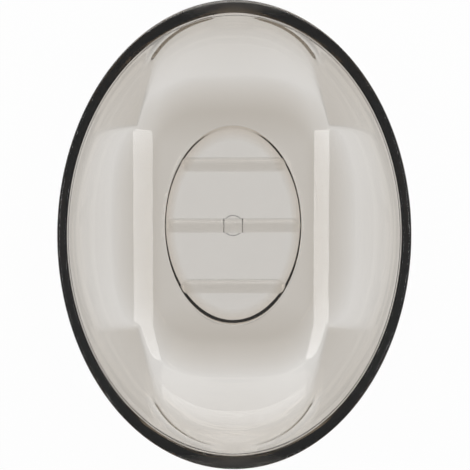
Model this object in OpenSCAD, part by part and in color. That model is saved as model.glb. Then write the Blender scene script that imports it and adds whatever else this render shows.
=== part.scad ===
/* [Dish] */
// Length of the rim, end to end
dish_l = 141; // [110:1:180]
// Width of the rim, side to side
dish_w = 105.6; // [84:0.2:140]
// Height of the rim above the table
dish_h = 30; // [24:0.5:36]
// Thickness of the wall at the two ends of the rim
wall_t = 4; // [3.2:0.1:6]
// Thickness of the round bottom, before its base is cut flat
floor_t = 7.6; // [7.2:0.1:8.4]
// Height that is cut off the round bottom to leave a flat base
base_cut = 5.5; // [5:0.1:6]
// Fullness of the bowl's inner curve: 2 is an ellipse, more is squarer
inner_fullness = 2.05; // [2:0.05:2.15]
// Fullness of the bowl's outer curve
outer_fullness = 1.85; // [1.8:0.05:1.95]
// Thickness of the floor between the tray and the hollow in the base
web_t = 1.6; // [1.2:0.1:1.8]
// Depth of the hollow in the base
hollow_d = 1.2; // [0.8:0.1:1.4]
// Slope of the hollow's edge, in degrees
hollow_slope = 40.5; // [30:0.5:60]

/* [Lobes in the wall] */
// Width of the lobe that runs to each end of the bowl
end_lobe_w = 51.4; // [48:0.2:54]
// Length of the lobe in each side of the bowl
side_lobe_l = 61.6; // [58:0.2:64]
// Height of the lobes' floor above the table
lobe_floor = 5; // [4.6:0.1:5.4]
// Rounding along the lobes' lower edges
lobe_round = 8; // [6:0.5:12]
// Fullness of the lobes' curve, which makes them dig into the wall
lobe_fullness = 2.4; // [2.25:0.05:2.45]

/* [Finger notches] */
// Width of the notch in each end of the rim
notch_w = 26; // [16:1:34]
// Depth of each notch below the rim
notch_d = 2; // [1.2:0.1:2.6]

/* [Tray] */
// Length of the tray as a share of the rim's length
tray_l_share = 0.437; // [0.38:0.001:0.45]
// Width of the tray as a share of the rim's width
tray_w_share = 0.398; // [0.35:0.001:0.42]
// Thickness of the tray's plate
tray_t = 1.2; // [1:0.1:1.6]
// Distance between the ribs as a share of the tray's length
rib_pitch_share = 0.305; // [0.25:0.005:0.33]
// Width of a rib where it meets the plate
rib_w = 4.4; // [4:0.1:6]
// Height of a rib above the plate
rib_h = 2; // [1:0.1:2]

/* [Lid] */
// Thickness of the lid's edge
lid_t = 1.8; // [1.4:0.1:3]
// Rise of the lid from its edge to its middle
lid_rise = 2.5; // [1:0.1:5]
// Depth of the plug inside the mouth
plug_h = 1.6; // [1.2:0.1:3]

/* [Fits] */
// Gap between the tray and the wall of its well
tray_gap = 0.3; // [0.2:0.05:0.5]
// Gap between the plug and the mouth at the two ends
lid_gap = 0.45; // [0.35:0.05:0.7]

/* [Hidden] */

// Segments round a full turn, and steps along one curve of a section
turn_fn = 96;
wall_steps = 12;
round_steps = 4;
dome_steps = 8;

// Every rim-shaped section is turned about the height and then narrowed by this
rim_oval = dish_w / dish_l;
half_l = dish_l / 2;
mouth_r = half_l - wall_t;

// Rounding of the rim's outer and inner edge
rim_outer_round = wall_t * 0.3;
rim_inner_round = wall_t * 0.2;

// Both faces of the bowl are superellipses in section: heights of their widest and lowest points
outer_top = dish_h - rim_outer_round;
inner_top = dish_h - rim_inner_round;
outer_low = -base_cut;
inner_low = floor_t - base_cut;

// The lobes end this far inside the mouth
lobe_reach = mouth_r - wall_t * 0.15;

// The tray lies in an oval well with a flat floor, and the bowl starts a little above that floor
web_top = hollow_d + web_t;
fill_z = web_top + 0.5;
tray_l = dish_l * tray_l_share;
tray_w = dish_w * tray_w_share;
well_l = tray_l + 2 * tray_gap;
well_w = tray_w + 2 * tray_gap;
tray_edge_round = 0.4;

// The rib is an arc of this radius, sunk so that rib_h and rib_w both hold
rib_r = (rib_w * rib_w / 4 + rib_h * rib_h) / (2 * rib_h);
rib_sink = rib_r - rib_h;
rib_pitch = tray_l * rib_pitch_share;
rib_inset = rib_w / 2 + tray_edge_round + 0.1;

// Round mark of the moulding gate, sunk in the middle of the tray's underside
gate_d = 6.2;
gate_depth = 0.3;

// The notch is an arc of this radius
notch_r = (notch_w * notch_w / 4 + notch_d * notch_d) / (2 * notch_d);

// The plug clears the wall at its own lower edge
plug_r = wall_r(dish_h - plug_h) - lid_gap;
plug_round = plug_h * 0.2;

// Radius of the bowl's inner face at a height
function wall_r(z) =
    let (low = (inner_top - z) / (inner_top - inner_low))
    mouth_r * pow(1 - pow(low, inner_fullness), 1 / inner_fullness);

// Superellipse in section from a starting angle, out and up to its widest point
function wall_curve(reach, low, top, fullness, start) =
    [for (i = [0 : wall_steps]) let (a = start + (90 - start) * i / wall_steps)
        [reach * pow(sin(a), 2 / fullness), top - (top - low) * pow(cos(a), 2 / fullness)]];

// Angle at which a wall's curve passes a share of its depth
function depth_angle(share, fullness) = acos(pow(share, fullness / 2));

// Angles at which the outer face leaves the table and the two inner faces reach the fill
base_angle = depth_angle(outer_top / (outer_top - outer_low), outer_fullness);
fill_angle = depth_angle((inner_top - fill_z) / (inner_top - inner_low), inner_fullness);
lobe_angle = depth_angle((inner_top - fill_z) / (inner_top - inner_low), lobe_fullness);

// Arc of a circle about a centre, between two angles
function arc(x, y, r, from, to) =
    [for (i = [0 : round_steps]) let (a = from + (to - from) * i / round_steps)
        [x + r * cos(a), y + r * sin(a)]];

function reversed(points) = [for (i = [len(points) - 1 : -1 : 0]) points[i]];

// Height of the lid's dome over its edge at a distance from the middle
function dome(x) = lid_rise * (1 - pow(x / (half_l - lid_t / 2), 2));

function dome_curve(reach, base) =
    [for (i = [0 : dome_steps]) let (x = reach * i / dome_steps) [x, base + dome(x)]];

// Turns a half section and narrows it to an oval, a quarter at a time
module oval_turn(oval) {
    for (side = [0, 1], end = [0, 1]) mirror([side, 0, 0]) mirror([0, end, 0])
        scale([oval, 1, 1]) rotate_extrude(angle = 90, $fn = turn_fn) children();
}

module outer_section() {
    polygon(concat(
        [[0, 0]],
        wall_curve(half_l, outer_low, outer_top, outer_fullness, base_angle),
        arc(half_l - rim_outer_round, outer_top, rim_outer_round, 0, 90),
        [[0, dish_h]]
    ));
}

// The inner sections run on above the rim, so that they cut it cleanly
module inner_section() {
    polygon(concat(
        [[0, fill_z]],
        wall_curve(mouth_r, inner_low, inner_top, inner_fullness, fill_angle),
        arc(mouth_r + rim_inner_round, inner_top, rim_inner_round, 180, 90),
        [[mouth_r + rim_inner_round, dish_h + wall_t], [0, dish_h + wall_t]]
    ));
}

module lobe_section() {
    polygon(concat(
        [[0, fill_z]],
        wall_curve(lobe_reach, inner_low, inner_top, lobe_fullness, lobe_angle),
        [[lobe_reach, dish_h + wall_t], [0, dish_h + wall_t]]
    ));
}

// Hollow in the base: as long as the tray at the table, narrowing upwards
module hollow_section() {
    run = 1 / tan(hollow_slope);
    polygon([
        [0, -hollow_d], [tray_l / 2 + hollow_d * run, -hollow_d],
        [tray_l / 2 - hollow_d * run, hollow_d], [0, hollow_d]
    ]);
}

// Trough with a flat floor and rounded lower edges, along Z
module trough(width, length) {
    r = lobe_round;
    linear_extrude(length, center = true) {
        for (side = [-1, 1]) translate([side * (width / 2 - r), lobe_floor + r]) circle(r = r, $fn = turn_fn);
        translate([r - width / 2, lobe_floor]) square([width - 2 * r, dish_h]);
        translate([-width / 2, lobe_floor + r]) square([width, dish_h]);
    }
}

// Inside of the bowl: a smooth bowl, and a fuller one that only two crossing troughs let through
module cavity() {
    oval_turn(rim_oval) inner_section();
    intersection() {
        oval_turn(rim_oval) lobe_section();
        union() {
            rotate([90, 0, 0]) trough(end_lobe_w, dish_l);
            rotate([90, 0, 90]) trough(side_lobe_l, dish_l);
        }
    }
}

module finger_notch() {
    translate([0, 0, dish_h - notch_d + notch_r]) rotate([-90, 0, 0])
        cylinder(h = half_l + wall_t, r = notch_r, $fn = 2 * turn_fn);
}

module dish() {
    color([0.45, 0.42, 0.40, 0.6]) difference() {
        oval_turn(rim_oval) outer_section();
        cavity();
        translate([0, 0, web_top]) oval_turn(well_w / well_l) square([well_l / 2, dish_h]);
        oval_turn(tray_w / tray_l) hollow_section();
        for (end = [0, 1]) mirror([0, end, 0]) finger_notch();
    }
}

module tray_section() {
    polygon(concat(
        [[0, 0], [tray_l / 2, 0]],
        arc(tray_l / 2 - tray_edge_round, tray_t - tray_edge_round, tray_edge_round, 0, 90),
        [[0, tray_t]]
    ));
}

// Round bar with ball ends, along X
module capsule(length) {
    rotate([0, 90, 0]) rotate_extrude($fn = turn_fn / 2) intersection() {
        union() {
            for (end = [-1, 1]) translate([0, end * (length / 2 - rib_r)]) circle(r = rib_r);
            translate([0, rib_r - length / 2]) square([rib_r, length - 2 * rib_r]);
        }
        translate([0, -length / 2]) square([rib_r, length]);
    }
}

// A rib whose ball ends stay rib_inset clear of the tray's oval edge
module rib(y) {
    ball_x = (tray_w / 2 - rib_inset) * sqrt(1 - pow(y / (tray_l / 2 - rib_inset), 2));
    intersection() {
        translate([0, y, tray_t - rib_sink]) capsule(2 * (ball_x + rib_r));
        translate([-tray_w / 2, y - rib_w, tray_t / 2]) cube([tray_w, 2 * rib_w, tray_t + rib_h]);
    }
}

module soap_tray() {
    color([0.50, 0.47, 0.45, 0.6]) translate([0, 0, web_top]) difference() {
        union() {
            oval_turn(tray_w / tray_l) tray_section();
            for (i = [-1 : 1]) rib(i * rib_pitch);
        }
        cylinder(h = 2 * gate_depth, d = gate_d, center = true, $fn = turn_fn / 2);
    }
}

module lid_section() {
    polygon(concat(
        dome_curve(half_l - lid_t / 2, dish_h + lid_t),
        arc(half_l - lid_t / 2, dish_h + lid_t / 2, lid_t / 2, 90, -90),
        [[plug_r, dish_h]],
        arc(plug_r - plug_round, dish_h - plug_h + plug_round, plug_round, 0, -90),
        reversed(dome_curve(plug_r - plug_round, dish_h - plug_h - dome(plug_r - plug_round)))
    ));
}

module lid() {
    color([0.55, 0.52, 0.50, 0.5]) oval_turn(rim_oval) lid_section();
}

dish();
soap_tray();
lid();
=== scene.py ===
import math

import bpy
import numpy as np
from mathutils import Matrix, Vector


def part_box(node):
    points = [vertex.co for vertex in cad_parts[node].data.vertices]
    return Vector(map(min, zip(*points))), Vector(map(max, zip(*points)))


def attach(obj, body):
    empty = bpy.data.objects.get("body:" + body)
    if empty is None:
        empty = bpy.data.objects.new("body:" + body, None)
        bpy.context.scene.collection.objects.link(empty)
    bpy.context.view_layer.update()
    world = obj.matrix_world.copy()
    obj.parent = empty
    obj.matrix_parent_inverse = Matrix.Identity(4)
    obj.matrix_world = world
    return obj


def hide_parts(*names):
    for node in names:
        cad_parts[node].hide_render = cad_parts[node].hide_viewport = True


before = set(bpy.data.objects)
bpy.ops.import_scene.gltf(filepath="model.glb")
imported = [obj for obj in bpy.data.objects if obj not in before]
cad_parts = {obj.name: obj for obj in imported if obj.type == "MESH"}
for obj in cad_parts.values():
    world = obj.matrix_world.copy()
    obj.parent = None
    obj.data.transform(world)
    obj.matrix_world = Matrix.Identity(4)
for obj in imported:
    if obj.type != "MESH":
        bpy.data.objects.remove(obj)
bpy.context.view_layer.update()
mm = 0.001

# Sizes that all pieces share, in millimetres, from the boxes of the CAD nodes
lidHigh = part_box("lid")[1]
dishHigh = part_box("dish")[1]
trayLow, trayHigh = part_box("soap_tray")
rimX, rimY = lidHigh.x / mm, lidHigh.y / mm
trayX, trayY = trayHigh.x / mm, trayHigh.y / mm
rimZ = dishHigh.z / mm
seatZ = trayLow.z / mm
oval = rimX / rimY
wall = 4.0
mouthX, mouthY = rimX - wall * oval, rimY - wall
# Half axes of the innermost ring round the pole of a flat face
innermost = (1.0, 1.5)
# A share too small to matter, which keeps divisions and powers away from 0
tiny = 1e-9
print("frame loaded: rim", round(2 * rimX, 1), "by", round(2 * rimY, 1), "mm")


# Shares from 0 to 1 that crowd towards both ends: (1 - cos(pi t)) / 2
def crowded(steps):
    return (1 - np.cos(np.linspace(0, np.pi, steps))) / 2


# Ring whose half axes are given: (half width cos(a), half length sin(a), height)
def ovalRing(axes, z, turn):
    return np.stack([axes[0] * np.cos(turn), axes[1] * np.sin(turn), z + 0 * turn], axis=-1)


# Rings that go straight from one ring to another, crowded at both ends
def between(first, last, steps):
    t = crowded(steps)[:, None, None]
    return first[None] * (1 - t) + last[None] * t


# An oval's half axes, both longer by a distance
def grow(axes, distance):
    return (axes[0] + distance, axes[1] + distance)


# Arc in section about a ring: it moves out by radius cos(b) and up by radius sin(b)
def roundEdge(axes, z, radius, start, end, turn, steps):
    return np.stack([ovalRing(grow(axes, radius * math.cos(b)), z + radius * math.sin(b), turn)
                     for b in np.radians(np.linspace(start, end, steps))])


# Distance from the middle as a share of an oval's half axes: (|x/a|^m + |y/b|^m)^(1/m), where m is
# 2, an ellipse, at the border and grows inwards, so that the lower levels are boxier
def ovalShare(x, y, half, boxy):
    u, v = np.abs(x) / half[0] + tiny, np.abs(y) / half[1] + tiny
    m = 2 + boxy * np.clip(1 - np.hypot(u, v), 0, 1)
    return (u ** m + v ** m) ** (1 / m)


# Height of a bowl hanging from its widest level: top - depth (1 - share^fullness)^(1/fullness)
def bowlHeight(share, fullness, low, top):
    return top - (top - low) * np.clip(1 - share ** fullness, 0, 1) ** (1 / fullness)


# Smaller of two heights, with the crease between them rounded over a height of k
def softMin(a, b, k):
    near = np.clip(k - np.abs(a - b), 0, None) / k
    return np.minimum(a, b) - near * near * k / 4


# Quads between neighbouring rings, for rings of equally many points
def ringQuads(rings, around):
    i = np.arange(rings - 1)[:, None] * around
    j = np.arange(around)[None, :]
    k = (j + 1) % around
    return np.stack([i + j, i + k, i + around + k, i + around + j], axis=2).reshape(-1, 4)


# Triangles from a pole to a ring that starts at an index; inward turns their sides round
def poleFan(pole, start, around, inward):
    j = start + np.arange(around)
    k = start + (np.arange(around) + 1) % around
    order = [k, j] if inward else [j, k]
    return np.stack([np.full(around, pole)] + order, axis=1)


def makePiece(name, vertices, faces):
    mesh = bpy.data.meshes.new(name)
    mesh.from_pydata((vertices * mm).tolist(), [], faces)
    mesh.polygons.foreach_set("use_smooth", np.ones(len(mesh.polygons), bool))
    mesh.update()
    piece = bpy.data.objects.new(name, mesh)
    bpy.context.scene.collection.objects.link(piece)
    print(name, "has", len(mesh.polygons), "faces")
    return piece


# A closed surface from a stack of rings, with a pole before the first ring and after the last one
def closedStack(name, rings, firstPole, lastPole):
    rows, around = rings.shape[:2]
    vertices = np.vstack([rings.reshape(-1, 3), [firstPole, lastPole]])
    faces = ringQuads(rows, around).tolist()
    faces += poleFan(rows * around, 0, around, True).tolist()
    faces += poleFan(rows * around + 1, (rows - 1) * around, around, False).tolist()
    return makePiece(name, vertices, faces)


# Dish

# Every plane in the lobes is (fromX, fromY, height there, rise with x, rise with y, curve)
dishSize = dict(innerLow=2.1, innerFullness=2.05, innerBoxy=6.0, outerLow=-5.5, outerFullness=1.85,
                outerBoxy=3.0, wallLow=-3.0, wallBoxy=5.5, endFullness=2.0, endInset=(0.3, 1.0),
                sideFullness=1.96, sideInset=(0.3, 0.3), floorLow=4.1,
                planes=dict(floorSide=(21.3, 0.0, 4.1, 0.18, 0.0, 0.0),
                            strip=(25.4, 0.0, 4.9, 0.238, 0.0, 0.0042),
                            ramp=(0.0, 31.0, 4.8, 0.0, 0.105, 0.0),
                            chamfer=(26.1, 31.4, 5.35, 0.235, 0.16, 0.0)),
                lobeWidth=31.0, lobeNarrowing=4.0, narrows=(31.0, 46.0), lobeLength=33.3,
                lobeCorner=3, lobeSide=40, lobeOver=10.0, crease=0.12,
                capFrom=44.0, capLength=22.0, capWidth=27.0, capEnd=0.98,
                grooveDepth=2.1, grooveWidth=0.8, grooveAlong=(49.0, 54.0),
                grooveAcross=(1.0, 8.0), rimOuter=1.2, rimInner=0.8, hollow=1.2,
                hollowIn=(0.5, 1.4), creaseRound=0.08, lipRound=0.12, lipDrop=1.3, gap=0.3,
                notchWidth=28.0, notchDepth=2.0, notchFrom=18.0,
                around=520, flatSteps=3, slopeSteps=4, outerSteps=28, innerSteps=122,
                lipSteps=6, rimSteps=8)


# Share of the way from one value to another, held between 0 and 1
def way(value, ends):
    return np.clip((value - ends[0]) / (ends[1] - ends[0]), 0, 1)


# Inner face: the lower one of a smooth bowl and of the lobes pressed into it. A lobe is the highest
# of a wall of even thickness, a flat floor and planes that rise from |x| = fromX and |y| = fromY:
# the floor's side, a strip along it that curves up, a ramp at each end and a chamfer between them.
# The wall is closed in by |x| at the ends and by |y| at the sides: its share from the middle is
# (share^q + |x/width|^p)^(1/q), p large for steep borders. Past its border a lobe climbs steeply,
# so that the bowl is the lower one there. An end lobe gets narrower and then ends in half an
# ellipse. A fine groove, depth exp(-(distance/width)^2), runs along that ellipse and fades out at
# its middle.
def innerHeight(x, y, s):
    top, q, p = rimZ - s["rimInner"], s["lobeCorner"], s["lobeSide"]
    across, along = np.abs(x), np.abs(y)
    share = ovalShare(x, y, (mouthX, mouthY), s["innerBoxy"])
    bowl = bowlHeight(np.minimum(share, 1), s["innerFullness"], s["innerLow"], top)
    base = np.full_like(across, s["floorLow"])
    for fromX, fromY, height, riseX, riseY, curve in s["planes"].values():
        a, b = across - fromX, along - fromY
        base = np.maximum(base, height + riseX * a + riseY * b + curve * np.clip(a, 0, None) ** 2)
    capY = (along - s["capFrom"]) / s["capLength"]
    width = s["lobeWidth"] - s["lobeNarrowing"] * way(along, s["narrows"])
    width = width * np.sqrt(1 - np.clip(capY, 0, s["capEnd"]) ** 2)
    lobes = []
    for distance, reach, inset, fullness in (
            (across, width, s["endInset"], s["endFullness"]),
            (along, s["lobeLength"], s["sideInset"], s["sideFullness"])):
        wallShare = ovalShare(x, y, (mouthX - inset[0], mouthY - inset[1]), s["wallBoxy"])
        closed = (wallShare ** q + (distance / reach) ** p) ** (1 / q)
        over = np.clip(closed - 1, 0, None) * s["lobeOver"] * rimZ
        lobes.append(bowlHeight(np.minimum(closed, 1), fullness, s["wallLow"], top) + over)
    lobe = np.maximum(np.minimum(lobes[0], lobes[1]), base)
    away = (np.hypot(across / s["capWidth"], capY) - 1) * s["capLength"]
    fade = way(along, s["grooveAlong"]) * way(across, s["grooveAcross"])
    groove = s["grooveDepth"] * fade * np.exp(-(away / s["grooveWidth"]) ** 2)
    return softMin(bowl, lobe, s["crease"]) - groove


# Rings on the outer face, from the flat base up to the widest level
def outerRings(s, turn):
    top, low, fullness = rimZ - s["rimOuter"], s["outerLow"], s["outerFullness"]
    start = (1 - (top / (top - low)) ** fullness) ** (1 / fullness)
    t = start + (1 - start) * np.sin(np.linspace(0, np.pi / 2, s["outerSteps"]))[:, None]
    m = 2 + s["outerBoxy"] * (1 - t)
    reach = t / (np.abs(np.cos(turn)) ** m + np.abs(np.sin(turn)) ** m) ** (1 / m)
    z = np.maximum(bowlHeight(t, fullness, low, top) + 0 * turn, 0)
    return np.stack([rimX * reach * np.cos(turn), rimY * reach * np.sin(turn), z], axis=-1)


# Rings on the inner face, from the well's lip out to the mouth, crowded where the wall is steep
def innerRings(s, lip, turn):
    w = np.sin(np.linspace(0, np.pi / 2, s["innerSteps"]))[:, None]
    x = (lip[0] * (1 - w) + mouthX * w) * np.cos(turn)
    y = (lip[1] * (1 - w) + mouthY * w) * np.sin(turn)
    z = innerHeight(x, y, s)
    z[-1] = rimZ - s["rimInner"]
    return np.stack([x, y, z], axis=-1)


# The rings run from the middle of the hollow in the base, round the outside and over the rim, and
# down the inside to the middle of the well
def buildDish(s):
    turn = np.linspace(0, 2 * np.pi, s["around"], endpoint=False)
    c, e, out, inn = s["creaseRound"], s["lipRound"], s["rimOuter"], s["rimInner"]
    flat, slope = s["flatSteps"], s["slopeSteps"]
    outer = outerRings(s, turn)
    # Hollow in the base, whose edge slopes more gently lengthwise than across
    hollowIn = (trayX - s["hollowIn"][0], trayY - s["hollowIn"][1])
    well = (trayX + s["gap"], trayY + s["gap"])
    lip = grow(well, e)
    bowl = innerRings(s, lip, turn)[::-1]
    lipZ = bowl[-1, :, 2]
    lipRing = np.stack([ovalRing(grow(lip, -e * math.sin(b)), lipZ - e * (1 - math.cos(b)), turn)
                        for b in np.linspace(0, np.pi / 2, s["lipSteps"])[1:]])

    def level(axes, z):
        return ovalRing(axes, z, turn)

    rings = np.concatenate([
        between(level(innermost, s["hollow"]), level(grow(hollowIn, -2 * c), s["hollow"]), flat),
        level(grow(hollowIn, -c), s["hollow"])[None],
        between(level(grow(hollowIn, c / 2), s["hollow"] - c / 2),
                level((trayX - c / 2, trayY - c / 2), c / 2), slope),
        between(level((trayX + c, trayY + c), 0.0), outer[0], slope)[:-1],
        outer,
        roundEdge((rimX - out, rimY - out), rimZ - out, out, 0, 90, turn, s["rimSteps"])[1:],
        roundEdge((mouthX + inn, mouthY + inn), rimZ - inn, inn, 90, 180, turn, s["rimSteps"]),
        bowl[1:],
        lipRing,
        between(level(well, lipZ - s["lipDrop"] * e), level(well, seatZ + c), flat),
        level(grow(well, -c), seatZ)[None],
        between(level(grow(well, -2 * c), seatZ), level(innermost, seatZ), flat),
    ])
    # The rim dips at both ends: the wall above a level is pressed down by a cosine-shaped notch
    x, z = rings[:, :, 0], rings[:, :, 2]
    share = np.clip(2 * np.abs(x) / s["notchWidth"], 0, 1)
    dip = s["notchDepth"] * np.cos(share * np.pi / 2) ** 2
    rings[:, :, 2] = z - dip * way(z, (s["notchFrom"], rimZ))
    return closedStack("smoke_dish", rings, [0, 0, s["hollow"]], [0, 0, seatZ])


# Tray

# A point of the groove's section is (share of half its width to one side, share of its depth), and
# gateRings are shares of the gate mark's size. Rows of the upper face lie beside each rib at
# ribFeet, in shares of half its width. The plain rows stay further than clear, in rib widths, from
# its middle.
traySize = dict(plate=1.2, edge=0.2, lift=0.05, ribWidth=4.4, ribHeight=2.0, ribPitch=0.305,
                ribInset=2.7, gateWidth=6.2, gateFlat=5.7, gateRings=(0.1, 0.4, 0.7),
                grooveWidth=0.4, grooveDepth=0.25, grooveClear=1.3,
                groove=((-1.1, 0), (-1, 0.02), (-0.5, 0.5), (-0.05, 0.96),
                        (0.05, 0.96), (0.5, 0.5), (1, 0.02), (1.1, 0)),
                corner=0.03, rows=150, columns=200, ribRows=33, ribFeet=(1.015, 1.06), clear=0.54,
                underSteps=12)


# Rib: an arc of a circle across, with ball ends, sunk so that its width and height both hold
def ribHeight(x, y, centres, s):
    half, high = s["ribWidth"] / 2, s["ribHeight"]
    radius = (half * half + high * high) / (2 * high)
    total = np.zeros_like(x)
    for centre in centres:
        end = (trayX - s["ribInset"]) * math.sqrt(1 - (centre / (trayY - s["ribInset"])) ** 2)
        away = np.hypot(np.maximum(np.abs(x) - end, 0), y - centre)
        arc = np.sqrt(np.clip(radius ** 2 - away ** 2, 0, None)) - (radius - high)
        total = np.maximum(total, np.where(away < half, arc, 0))
    return total


# Rounded upper edge: it falls by edge - sqrt(edge^2 - (edge - distance)^2) near the oval's border,
# the distance being (1 - F) / |gradient of F| for F = (x/halfX)^2 + (y/halfY)^2
def edgeFall(x, y, s):
    inside = 1 - (x / trayX) ** 2 - (y / trayY) ** 2
    slope = 2 * np.hypot(x / trayX ** 2, y / trayY ** 2) + tiny
    near = np.clip(s["edge"] - inside / slope, 0, s["edge"])
    return s["edge"] - np.sqrt(s["edge"] ** 2 - near ** 2)


def buildTray(s):
    low, top = seatZ + s["lift"], seatZ + s["plate"]
    pitch = 2 * trayY * s["ribPitch"]
    centres = [-pitch, 0.0, pitch]
    # Rows of the upper face: evenly turned, and crowded at the feet of the ribs
    across = np.sin(np.radians(np.linspace(-90, 90, s["ribRows"])))
    feet = np.array(s["ribFeet"])
    across = np.concatenate([-feet[::-1], across, feet]) * s["ribWidth"] / 2
    plain = trayY * np.sin(np.linspace(-np.pi / 2, np.pi / 2, s["rows"] + 2)[1:-1])
    away = np.min(np.abs(plain[:, None] - np.array(centres)), axis=1)
    plain = plain[away > s["ribWidth"] * s["clear"]]
    rowY = np.sort(np.concatenate([plain] + [c + across for c in centres]))
    rows, columns = len(rowY), s["columns"]
    rowAngle = np.arcsin(rowY / trayY)
    share = np.sin(np.linspace(-np.pi / 2, np.pi / 2, columns))
    x = trayX * np.cos(rowAngle)[:, None] * share
    y = np.repeat(rowY[:, None], columns, axis=1)
    z = top - edgeFall(x, y, s) + ribHeight(x, y, centres, s)
    # Underside: from the middle to the gate mark's outline, a disc with two flat sides, and on to
    # the oval
    turn = np.concatenate([[-np.pi / 2], rowAngle, [np.pi / 2], np.pi - rowAngle[::-1]])
    around = len(turn)
    border = ovalRing((trayX, trayY), low, turn)
    aim = np.arctan2(border[:, 1], border[:, 0])
    reach = np.minimum(s["gateWidth"] / 2, s["gateFlat"] / 2 / (np.abs(np.cos(aim)) + tiny))
    gate = np.stack([reach * np.cos(aim), reach * np.sin(aim), low + 0 * aim], axis=-1)
    # A groove with sloping sides follows that outline
    centre = np.array([0, 0, low])
    spread = s["grooveWidth"] / s["gateWidth"]

    def grown(k, rise=0):
        return centre + (gate - centre) * k + np.array([0, 0, rise * s["grooveDepth"]])

    rings = np.concatenate([
        np.stack([grown(k) for k in s["gateRings"]]
                 + [grown(1 + aside * spread, rise) for aside, rise in s["groove"]]),
        between(grown(1 + s["grooveClear"] * spread), border, s["underSteps"]),
        border[None] + np.array([0, 0, s["corner"]]),
        border[None] + np.array([0, 0, top - s["edge"] - low - s["corner"]]),
        np.concatenate([border[:, :2], np.full((around, 1), top - s["edge"])], axis=1)[None],
    ])
    ringCount = len(rings)
    last = (ringCount - 1) * around
    inner = np.stack([x, y, z], axis=-1)[:, 1:-1].reshape(-1, 3)
    innerStart = ringCount * around
    index = np.empty((rows, columns), int)
    index[:, 1:-1] = innerStart + np.arange(rows * (columns - 2)).reshape(rows, -1)
    index[:, -1] = last + 1 + np.arange(rows)
    index[:, 0] = last + around - 1 - np.arange(rows)
    quads = np.stack([index[:-1, :-1], index[:-1, 1:], index[1:, 1:], index[1:, :-1]], axis=2)
    nearPole, farPole = last, last + rows + 1
    ends = [np.stack([np.full(columns - 1, nearPole), index[0, 1:], index[0, :-1]], axis=1),
            np.stack([np.full(columns - 1, farPole), index[-1, :-1], index[-1, 1:]], axis=1)]
    vertices = np.vstack([rings.reshape(-1, 3), inner, [centre]])
    faces = ringQuads(ringCount, around).tolist() + quads.reshape(-1, 4).tolist()
    faces += ends[0].tolist() + ends[1].tolist()
    faces += poleFan(len(vertices) - 1, 0, around, True).tolist()
    return makePiece("smoke_tray", vertices, faces)


# Lid

# Shares of the way to the edge: nearest is where the dome's innermost ring lies, and apart is left
# free between the dome's underside and the plug's rounding
lidSize = dict(edge=1.8, rise=2.45, plug=1.6, plugInset=4.48, plugRound=0.25, lift=0.05,
               corner=0.03, inset=0.05, nearest=0.02, apart=0.002, around=360,
               underSteps=50, plugRoundSteps=7, plugSideSteps=5, seatSteps=9, edgeSteps=21,
               overSteps=70)


def buildLid(s):
    turn = np.linspace(0, 2 * np.pi, s["around"], endpoint=False)
    base = rimZ + s["lift"]
    half = s["edge"] / 2
    edgeX, edgeY = rimX - half, rimY - half
    plug = ((rimY - s["plugInset"]) * oval, rimY - s["plugInset"])
    r, corner, inset = s["plugRound"], s["corner"], s["inset"]

    # Dome: a height that falls from the middle to the edge with the square of the distance
    def dome(fromShare, toShare, z, steps):
        return np.stack([ovalRing((k * edgeX, k * edgeY), z + s["rise"] * (1 - k * k), turn)
                         for k in np.linspace(fromShare, toShare, steps)])

    share = (plug[1] - r) / edgeY
    low = base - s["plug"]
    under = low - s["rise"] * (1 - share ** 2)
    rings = np.concatenate([
        dome(s["nearest"], share - s["apart"], under, s["underSteps"]),
        roundEdge(grow(plug, -r), low + r, r, -90, 0, turn, s["plugRoundSteps"]),
        between(ovalRing(plug, low + r + inset, turn), ovalRing(plug, base - corner, turn),
                s["plugSideSteps"]),
        between(ovalRing(grow(plug, corner), base, turn),
                ovalRing((edgeX - inset, edgeY - inset), base, turn), s["seatSteps"]),
        roundEdge((edgeX, edgeY), base + half, half, -90, 90, turn, s["edgeSteps"])[:-1],
        dome(1.0, s["nearest"], base + s["edge"], s["overSteps"]),
    ])
    return closedStack("smoke_lid", rings, [0, 0, under + s["rise"]],
                       [0, 0, base + s["edge"] + s["rise"]])


# Shader maths as Python expressions: each operator adds its Math node
class Sock:
    def __init__(self, tree, socket):
        self.tree, self.socket = tree, socket

    def node(self, kind, settings, *values, **named):
        new = self.tree.nodes.new(kind)
        for key, value in settings.items():
            setattr(new, key, value)
        for i, value in list(enumerate(values)) + list(named.items()):
            target = new.inputs[i if isinstance(i, int) else i.replace("_", " ")]
            if isinstance(value, Sock):
                self.tree.links.new(value.socket, target)
            elif value is not None:
                target.default_value = value
        return [Sock(self.tree, o) for o in new.outputs]

    def maths(self, operation, *values):
        return self.node("ShaderNodeMath", {"operation": operation}, *values)[0]

    def __add__(self, other):
        return self.maths("ADD", self, other)

    def __sub__(self, other):
        return self.maths("SUBTRACT", self, other)

    def __mul__(self, other):
        return self.maths("MULTIPLY", self, other)


def newMaterial(name):
    material = bpy.data.materials.new(name)
    material.use_nodes = True
    tree = material.node_tree
    tree.nodes.clear()
    output = tree.nodes.new("ShaderNodeOutputMaterial")
    return material, tree, output, Sock(tree, None)


# Smoke acrylic
acrylic = dict(ior=1.49, tint=(0.264, 0.164, 0.021, 1.0), waveScale=45.0, waveDepth=1e-5,
               fineScale=700.0, fineDepth=3e-7, wearScale=160.0, wearFrom=0.62, wear=0.03)
white = (1.0, 1.0, 1.0, 1.0)


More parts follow.
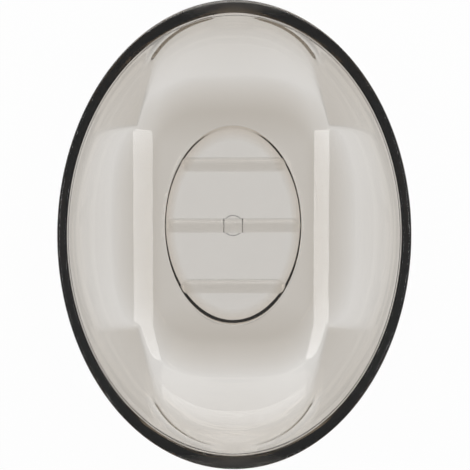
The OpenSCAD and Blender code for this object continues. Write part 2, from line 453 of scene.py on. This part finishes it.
# Painted shade: a warm, darker base colour that fades in towards an oval's border, over its last
# share of the way from the middle, standing in for the shade along the thick edge
def paintedEdgeShade(start, place, s):
    scaled = start.node("ShaderNodeVectorMath", {"operation": "MULTIPLY"}, place,
                        (1 / (s["half"][0] * mm), 1 / (s["half"][1] * mm), 0))[0]
    share = start.node("ShaderNodeVectorMath", {"operation": "LENGTH"}, scaled)[1]
    fade = (share - s["begins"]) * (1 / (1 - s["begins"]))
    fade = start.maths("MAXIMUM", start.maths("SMOOTH_MIN", fade, 1.0, s["soft"]), 0.0)
    return start.node("ShaderNodeMix", {"data_type": "RGBA"}, fade, A=white, B=s["tint"])[2]


# Roughness on the rim's top at both ends, where it is cut back: it fades in with the distance along
# the dish and with the height
def frostAt(start, place, s):
    along, height = start.node("ShaderNodeSeparateXYZ", {}, place)[1:]
    along = start.maths("ABSOLUTE", along)
    masks = []
    for value, (begins, full) in ((along, s["along"]), (height, s["height"])):
        share = (value * (1 / mm) - begins) * (1 / (full - begins))
        masks.append(start.maths("MINIMUM", start.maths("MAXIMUM", share, 0.0), 1.0))
    return masks[0] * masks[1] * s["roughness"]


# Clear plastic: the tint is in the depth, with a slow ripple from moulding and fine wear on top
def smokeAcrylic(name, density, s, edge=None, frost=None):
    material, tree, output, start = newMaterial(name)
    place = start.node("ShaderNodeTexCoord", {})[3]
    # With edge given, the base colour carries painted shade that darkens towards the tray's border
    colour = paintedEdgeShade(start, place, edge) if edge else white
    wave = start.node("ShaderNodeTexNoise", {}, place, Scale=s["waveScale"], Detail=1.0)[0]
    fine = start.node("ShaderNodeTexNoise", {}, place, Scale=s["fineScale"], Detail=2.0)[0]
    height = wave * s["waveDepth"] + fine * s["fineDepth"]
    bump = start.node("ShaderNodeBump", {}, Strength=1.0, Distance=1.0, Height=height)[0]
    worn = start.node("ShaderNodeTexNoise", {}, place, Scale=s["wearScale"], Detail=4.0,
                      Roughness=0.7)[0]
    rough = start.maths("MAXIMUM", (worn - s["wearFrom"]) * s["wear"], 0.0)
    if frost:
        rough = start.maths("MAXIMUM", rough, frostAt(start, place, frost))
    shader = start.node("ShaderNodeBsdfPrincipled", {}, Base_Color=colour, Roughness=rough,
                        IOR=s["ior"], Transmission_Weight=1.0, Normal=bump)[0]
    depth = start.node("ShaderNodeVolumeAbsorption", {}, Color=s["tint"], Density=density)[0]
    tree.links.new(shader.socket, output.inputs["Surface"])
    tree.links.new(depth.socket, output.inputs["Volume"])
    return material


# Puts the finish on a piece and lets it stand for its CAD node
def dress(piece, material, body):
    piece.data.materials.append(material)
    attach(piece, body)
    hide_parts(body)


# Depth of colour of each piece, the rim's frosted ends and the painted shade at the tray's border
density = dict(dish=140.0, tray=120.0, lid=8.0)
rimFrost = dict(along=(65.5, 68.5), height=(26.4, 27.4), roughness=0.8)
trayEdgeShade = dict(half=(trayX, trayY), begins=0.84, soft=0.1, tint=(0.84, 0.78, 0.71, 1.0))
dishFinish = smokeAcrylic("dish_acrylic", density["dish"], acrylic, frost=rimFrost)
trayFinish = smokeAcrylic("tray_acrylic", density["tray"], acrylic, edge=trayEdgeShade)
lidFinish = smokeAcrylic("lid_acrylic", density["lid"], acrylic)
dress(buildDish(dishSize), dishFinish, "dish")
dress(buildTray(traySize), trayFinish, "soap_tray")
dress(buildLid(lidSize), lidFinish, "lid")
print("pieces dressed")

# Floor
stageLook = dict(size=3.0, drop=0.00005, colour=(0.9, 0.9, 0.9, 1.0), glow=0.975, seenGlow=0.92)


# Pale flat floor. Rays from the camera, mirrored rays and rays through the acrylic see most of it
# as plain white, so its shadow stays but is pale.
def buildFloor(s):
    h, z = s["size"] / 2, -s["drop"]
    mesh = bpy.data.meshes.new("floor")
    mesh.from_pydata([(-h, -h, z), (h, -h, z), (h, h, z), (-h, h, z)], [], [(0, 1, 2, 3)])
    floor = bpy.data.objects.new("floor", mesh)
    bpy.context.scene.collection.objects.link(floor)
    material, tree, output, start = newMaterial("floor_white")
    rays = start.node("ShaderNodeLightPath", {})
    camera, glossy, through = rays[0], rays[3], rays[6]
    plain = start.node("ShaderNodeBsdfDiffuse", {}, Color=s["colour"])[0]
    bright = start.node("ShaderNodeEmission", {}, Color=white, Strength=1.0)[0]
    indirect = start.maths("MAXIMUM", glossy, through) * s["seenGlow"]
    seen = start.maths("MAXIMUM", camera * s["glow"], indirect)
    mixed = start.node("ShaderNodeMixShader", {}, seen, plain, bright)[0]
    tree.links.new(mixed.socket, output.inputs["Surface"])
    mesh.materials.append(material)


buildFloor(stageLook)
print("floor laid")

# Light

# Panels on three sides of a light tent: a bright strip to the left and one to the right, and two
# panels one above the other on the far side. Turn is the side that a panel stands on. Side, its two
# ends across, and up, its two heights, are in shares of the tent's distance.
tent = dict(distance=0.6, sky=0.2, seen=1.0)
panels = [
    dict(name="right_strip", turn=0, side=(-0.5, 0.4), up=(1.82, 2.3), glow=4.8),
    dict(name="left_strip", turn=180, side=(-0.4, 0.5), up=(2.03, 2.4), glow=5.6),
    dict(name="far_strip", turn=90, side=(-0.8, 0.8), up=(0.51, 1.3), glow=1.2),
    dict(name="far_panel", turn=90, side=(-0.8, 0.8), up=(0.04, 0.5), glow=3.8),
]


def buildLight(s, panels):
    for p in panels:
        turn, away = math.radians(p["turn"]), s["distance"]
        side, up = sum(p["side"]) / 2 * away, sum(p["up"]) / 2 * away
        light = bpy.data.lights.new(p["name"], "AREA")
        light.shape = "RECTANGLE"
        light.size = (p["side"][1] - p["side"][0]) * away
        light.size_y = (p["up"][1] - p["up"][0]) * away
        light.energy = p["glow"] * math.pi * light.size * light.size_y
        holder = bpy.data.objects.new(p["name"], light)
        bpy.context.scene.collection.objects.link(holder)
        holder.location = (away * math.cos(turn) - side * math.sin(turn),
                           away * math.sin(turn) + side * math.cos(turn), up)
        holder.rotation_euler = (math.pi / 2, 0, turn + math.pi / 2)
    world = bpy.data.worlds.new("studio")
    bpy.context.scene.world = world
    world.use_nodes = True
    tree = world.node_tree
    tree.nodes.clear()
    start = Sock(tree, None)
    output = tree.nodes.new("ShaderNodeOutputWorld")
    camera = start.node("ShaderNodeLightPath", {})[0]
    strength = camera * (s["seen"] - s["sky"]) + s["sky"]
    sky = start.node("ShaderNodeBackground", {}, Color=white, Strength=strength)[0]
    tree.links.new(sky.socket, output.inputs["Surface"])


buildLight(tent, panels)
print("lights placed")

# Camera
view = dict(tilt=8.0, lean=-0.9, away=0.9, halfFrame=0.07008, aim=(0.00018, 0.0006),
            sensor=36.0)


# Looks down on the rim's middle, leaning by tilt towards the far end and by lean to one side
def buildCamera(s):
    camera = bpy.data.cameras.new("camera")
    holder = bpy.data.objects.new("camera", camera)
    bpy.context.scene.collection.objects.link(holder)
    tilt, lean, away = math.radians(s["tilt"]), math.radians(s["lean"]), s["away"]
    holder.location = (s["aim"][0] + away * math.cos(tilt) * math.sin(lean),
                       s["aim"][1] + away * math.sin(tilt),
                       rimZ * mm + away * math.cos(tilt) * math.cos(lean))
    holder.rotation_euler = (-tilt, lean, 0)
    camera.sensor_width = s["sensor"]
    camera.lens = s["sensor"] / 2 * away / s["halfFrame"]
    bpy.context.scene.camera = holder


buildCamera(view)
bpy.context.scene.view_settings.view_transform = "Standard"
